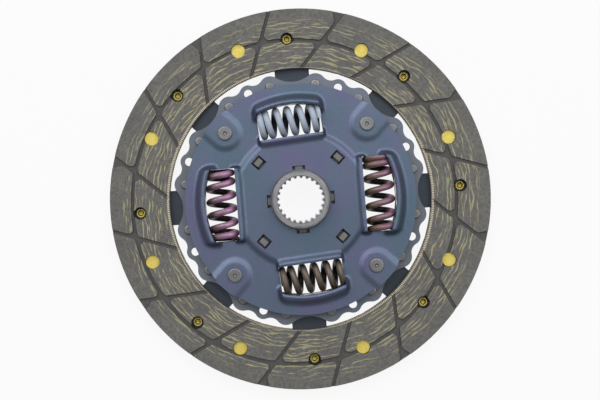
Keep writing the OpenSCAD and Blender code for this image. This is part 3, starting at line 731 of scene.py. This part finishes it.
def flat_net():
    net = bmesh.new()
    inner = WINDOW_OUT - HOLE_R
    outer = RIM_R - WINDOW_OUT
    radii = [HOLE_R + inner * i / INNER_RINGS for i in range(INNER_RINGS + 1)]
    radii += [WINDOW_OUT + outer * i / OUTER_RINGS for i in range(1, OUTER_RINGS + 1)]
    row = [net.verts.new((r, 0, 0)) for r in radii]
    line = [net.edges.new(pair) for pair in zip(row, row[1:])]
    bmesh.ops.spin(net, geom=row + line, cent=(0, 0, 0), axis=(0, 0, 1), steps=NET_STEPS,
                   angle=2 * math.pi, use_merge=True)
    for v in net.verts:
        r = v.co.length
        past = max(r - WINDOW_OUT, 0.0) / outer
        around = math.degrees(math.atan2(v.co.y, v.co.x))
        v.co *= 1 + (rim(around) - RIM_R) * past / r
    return net


def cut(net, angle, distance, sideways=False):
    """Splits the net along a line at a distance from the axis, square to its angle or along it."""
    c, s = math.cos(math.radians(angle)), math.sin(math.radians(angle))
    way = Vector((-s, c, 0)) if sideways else Vector((c, s, 0))
    bmesh.ops.bisect_plane(net, geom=net.verts[:] + net.edges[:] + net.faces[:], dist=ON_LINE,
                           plane_co=way * distance, plane_no=way)


def is_open(x, y):
    for angle, half in WINDOWS:
        u, v = turned_by(x, y, angle)
        if u > WINDOW_IN and abs(v) < half and math.hypot(x, y) < WINDOW_OUT:
            return True
    u, v = from_nearest(x, y, DIAGONALS)
    if SLOT_IN < u < SLOT_OUT and abs(v) < SLOT_HALF:
        return True
    u, v = from_nearest(x, y, SQUARES)
    return abs(v) < NOTCH_HALF and u < NOTCH_OUT


def cover_blank():
    net = flat_net()
    for angle, half in WINDOWS:
        cut(net, angle, WINDOW_IN)
        cut(net, angle, half, sideways=True)
        cut(net, angle, -half, sideways=True)
    for angle in DIAGONALS:
        cut(net, angle, SLOT_IN)
        cut(net, angle, SLOT_OUT)
        cut(net, angle, SLOT_HALF, sideways=True)
    for angle in SQUARES:
        cut(net, angle, NOTCH_OUT)
        cut(net, angle, NOTCH_HALF, sideways=True)
    gone = [face for face in net.faces if is_open(*face.calc_center_median()[:2])]
    bmesh.ops.delete(net, geom=gone, context="FACES")
    return net


sheet = cover_blank()
print("blank of", len(sheet.faces), "faces")

# %% [markdown]
# Third, the pressing: each point is lifted to its height and the sheet is extruded down by its
# thickness. Edges that fold by more than 50 degrees stay sharp, so that the cut edges look
# sheared and the slopes look drawn.

# %% Press the sheet
SHEET = 1.8
SHEARED_FOLD = 50


def sharpen(mesh, degrees):
    """Smooth faces, with edges kept sharp where they fold by more than the given angle."""
    for face in mesh.faces:
        face.smooth = True
    for edge in mesh.edges:
        edge.smooth = edge.calc_face_angle(0.0) < math.radians(degrees)


for v in sheet.verts:
    v.co.z = cover_height(v.co.x, v.co.y)
made = bmesh.ops.extrude_face_region(sheet, geom=sheet.faces[:], use_keep_orig=True)
underside = [part for part in made["geom"] if isinstance(part, bmesh.types.BMVert)]
bmesh.ops.translate(sheet, verts=underside, vec=(0, 0, -SHEET))
bmesh.ops.recalc_face_normals(sheet, faces=sheet.faces)
bmesh.ops.scale(sheet, verts=sheet.verts, vec=(MM, MM, MM))
sharpen(sheet, SHEARED_FOLD)
cover = into_scene(sheet, "pressed_cover", cover_steel)
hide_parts("cover_plate")
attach(cover, "driven_plates")
print("pressed_cover", len(cover.data.polygons), "faces")

# %% [markdown]
# ## Copies of the segments
#
# The waved cushion segments give way by a third of a millimetre when the rear facing is pressed
# towards them. A CAD mesh can't change shape, so four of them get a copy that can. Its doubled
# corners are merged first, and edges with a sharp fold stay sharp. The top of their wave rests on
# the front facing.

# %% Copy the segments
SAME_POINT = 0.001 * MM
SEGMENT_FOLD = 30


def merged_copy(name, material):
    mesh = bmesh.new()
    mesh.from_mesh(nodes[name].data)
    mesh.transform(nodes[name].matrix_world)
    bmesh.ops.remove_doubles(mesh, verts=mesh.verts, dist=SAME_POINT)
    sharpen(mesh, SEGMENT_FOLD)
    return into_scene(mesh, name + "_copy", material)


for number in (1, 3, 5, 7):
    name = f"cushion_segment_{number}"
    segment = merged_copy(name, segment_steel)
    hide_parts(name)
    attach(segment, "driven_plates")
    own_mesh(segment)
print("copied 4 segments")

# %% [markdown]
# ## The damper springs
#
# A spring is a round wire wound on a cylinder. Here a circle is spun about the spring's axis
# while it moves along it, which is what a winding machine does. The end turns lie close to their
# neighbours, the turns between them are open, and the ends are ground flat, so the wire is cut
# there by a plane.

# %% Wind a spring
SPRING_CIRCLE = 39.3 * MM
SPRING_HEIGHT = 4.8 * MM
SPRING_D = 15.4 * MM
WIRE_D = 3.2 * MM
CLOSED_PITCH = WIRE_D + 0.05 * MM
TIP = 0.11 * WIRE_D
WIRE_SIDES = 20
TURN_STEPS = 40
LARGEST_WIRE_FACE = 4 * MM * MM
ON_PLANE = 0.0001 * MM


def wound_wire(length, turns, first, last):
    """A coil along X from 0 to its length, with so many closed turns at its first and last end."""
    mesh = bmesh.new()
    bmesh.ops.create_circle(mesh, segments=WIRE_SIDES, radius=WIRE_D / 2)
    bmesh.ops.translate(mesh, verts=mesh.verts, vec=((SPRING_D - WIRE_D) / 2, TIP, 0))
    swap = Matrix(((0, 1, 0, 0), (1, 0, 0, 0), (0, 0, 1, 0), (0, 0, 0, 1)))
    bmesh.ops.transform(mesh, verts=mesh.verts, matrix=swap)
    free = length - 2 * TIP - (first + last) * CLOSED_PITCH
    stretches = (
        (first, first * CLOSED_PITCH),
        (turns - first - last, free),
        (last, last * CLOSED_PITCH),
    )
    end = list(mesh.edges)
    for turned, travel in stretches:
        steps = round(turned * TURN_STEPS)
        made = bmesh.ops.spin(mesh, geom=end, cent=(0, 0, 0), axis=(1, 0, 0), steps=steps,
                              dvec=(travel / steps, 0, 0), angle=turned * 2 * math.pi)
        end = [part for part in made["geom_last"] if isinstance(part, bmesh.types.BMEdge)]
    for where, way in ((0.0, -1), (length, 1)):
        bmesh.ops.bisect_plane(mesh, geom=mesh.verts[:] + mesh.edges[:] + mesh.faces[:],
                               dist=ON_PLANE, plane_co=(where, 0, 0), plane_no=(way, 0, 0),
                               clear_outer=True)
    bmesh.ops.holes_fill(mesh, edges=[e for e in mesh.edges if e.is_boundary], sides=0)
    bmesh.ops.recalc_face_normals(mesh, faces=mesh.faces)
    return mesh


def damper_spring(name, angle, length, coil, material):
    turns, start, first, last = coil
    mesh = wound_wire(length, turns, first, last)
    stand = (Matrix.Rotation(math.radians(angle), 4, "Z")
             @ Matrix.Translation((SPRING_CIRCLE, 0, SPRING_HEIGHT))
             @ Matrix.Rotation(math.radians(-90), 4, "Z")
             @ Matrix.Translation((-length / 2, 0, 0))
             @ Matrix.Rotation(math.radians(start), 4, "X"))
    bmesh.ops.transform(mesh, verts=mesh.verts, matrix=stand)
    spring = into_scene(mesh, name + "_coil", material)
    for face in spring.data.polygons:
        face.use_smooth = face.area < LARGEST_WIRE_FACE
    return spring


print("wire", round(WIRE_D / MM, 2), "mm on a coil of", round(SPRING_D / MM, 2), "mm")

# %% [markdown]
# Each spring has its own colour from its heat treatment, which changes from the side that faces
# the rim to the side that faces the hub. The material works that out in the spring's own
# directions, with a Mapping node that turns the place by the spring's angle. The wire's rear
# half, from a millimetre below the spring's axis, is painted dark as shade.

# %% Colour of a spring
def tint_and_rear_shade(name, angle, rim_side, hub_side, line, rough=0.5, metal=0.5):
    finish = Finish(name)
    settings = {"vector_type": "TEXTURE"}
    own = {"Vector": finish.place, "Rotation": (0, 0, math.radians(angle))}
    turned = finish.node("ShaderNodeMapping", settings, own)
    out, along, high = finish.xyz(turned)
    outward = (out - SPRING_CIRCLE) / (SPRING_D / 2)
    flow = finish.noise(0.004, 3.0)
    side = (outward + (flow - 0.5) * 1.2).ramp(-0.5, 0.7)
    colour = finish.mix(side, hub_side, rim_side)
    drawn = finish.noise(0.0016, 3.0, finish.stretched(0.3, 2.4, 1.0, turned))
    colour = finish.mix(drawn.ramp(0.45, 0.75) * 0.5, colour, line)
    # Painted shade: the rear half of the coil, below its axis, is darkened.
    rear = high.ramp(SPRING_HEIGHT - 1 * MM, SPRING_HEIGHT - 4 * MM)
    colour = finish.mix(rear, colour, srgb(38, 36, 38))
    normal = finish.bump(drawn, 0.03 * MM, 0.5)
    return finish.surface(Base_Color=colour, Roughness=rough, Metallic=metal, Normal=normal)


bronze = (srgb(176, 128, 158), srgb(118, 100, 84), srgb(196, 176, 168))
blue = (srgb(190, 202, 218), srgb(184, 196, 214), srgb(206, 214, 226), 0.65, 0.2)
pink = (srgb(96, 78, 76), srgb(204, 150, 190), srgb(214, 196, 210))
brown = (srgb(104, 92, 82), srgb(112, 100, 90), srgb(168, 160, 148))
print("the blue wire's rim side is", [round(share, 2) for share in blue[0][:3]])

# %% [markdown]
# A coil is given by its turns, the angle at which its wire starts, and how many turns are closed
# at its first and last end. When the hub turns by 6 degrees in the plates, its flange pushes one
# end of each spring in by about 5 mm at its outer side.

# %% Fit the springs
springs = {
    "spring_right": ("spring_bronze", bronze, (6.6, 49, 1.5, 1.0)),
    "spring_top": ("spring_blue", blue, (6.45, 295, 1.3, 1.05)),
    "spring_left": ("spring_pink", pink, (6.6, 151, 1.35, 1.25)),
    "spring_bottom": ("spring_brown", brown, (5.9, 328, 0.5, 0.9)),
}
for name, (slot, look, coil) in springs.items():
    angle = SPRING_PLACES[name][0]
    length = SPRING_PLACES[name][1] * MM
    wound = damper_spring(name, angle, length, coil, tint_and_rear_shade(name + "_tint", angle, *look))
    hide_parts(name)
    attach(wound, "driven_plates")
    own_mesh(wound)
    print(wound.name, len(wound.data.polygons), "faces")
